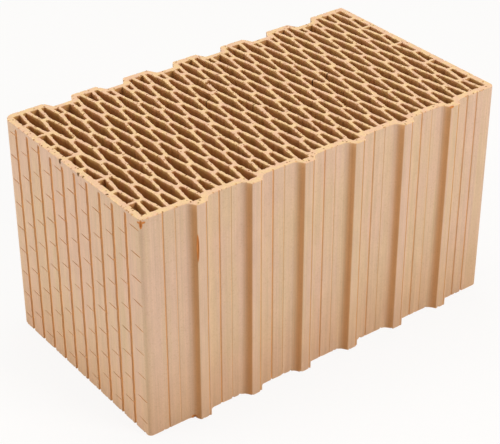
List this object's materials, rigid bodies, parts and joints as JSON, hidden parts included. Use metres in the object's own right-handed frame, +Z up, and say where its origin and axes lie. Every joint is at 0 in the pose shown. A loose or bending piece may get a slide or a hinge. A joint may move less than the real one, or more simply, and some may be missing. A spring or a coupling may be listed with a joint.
{
  "type": "hollow clay block",
  "caption": "Fired clay wall block with upright rhombic holes, tongues on one long face, grooves in the other and keyed end faces.",
  "frame": {"origin": "middle of the box around the block, on the floor that it stands on", "axes": "+X along the length, -Y the long face with the tongues, +Y the long face with the grooves, +Z up along the holes"},
  "size_m": [0.44, 0.2554, 0.249],
  "materials": {
    "fired_clay": "matt, unglazed, extruded"
  },
  "bodies": {
    "root": {"clay_block": "fired_clay"}
  },
  "joints": []
}
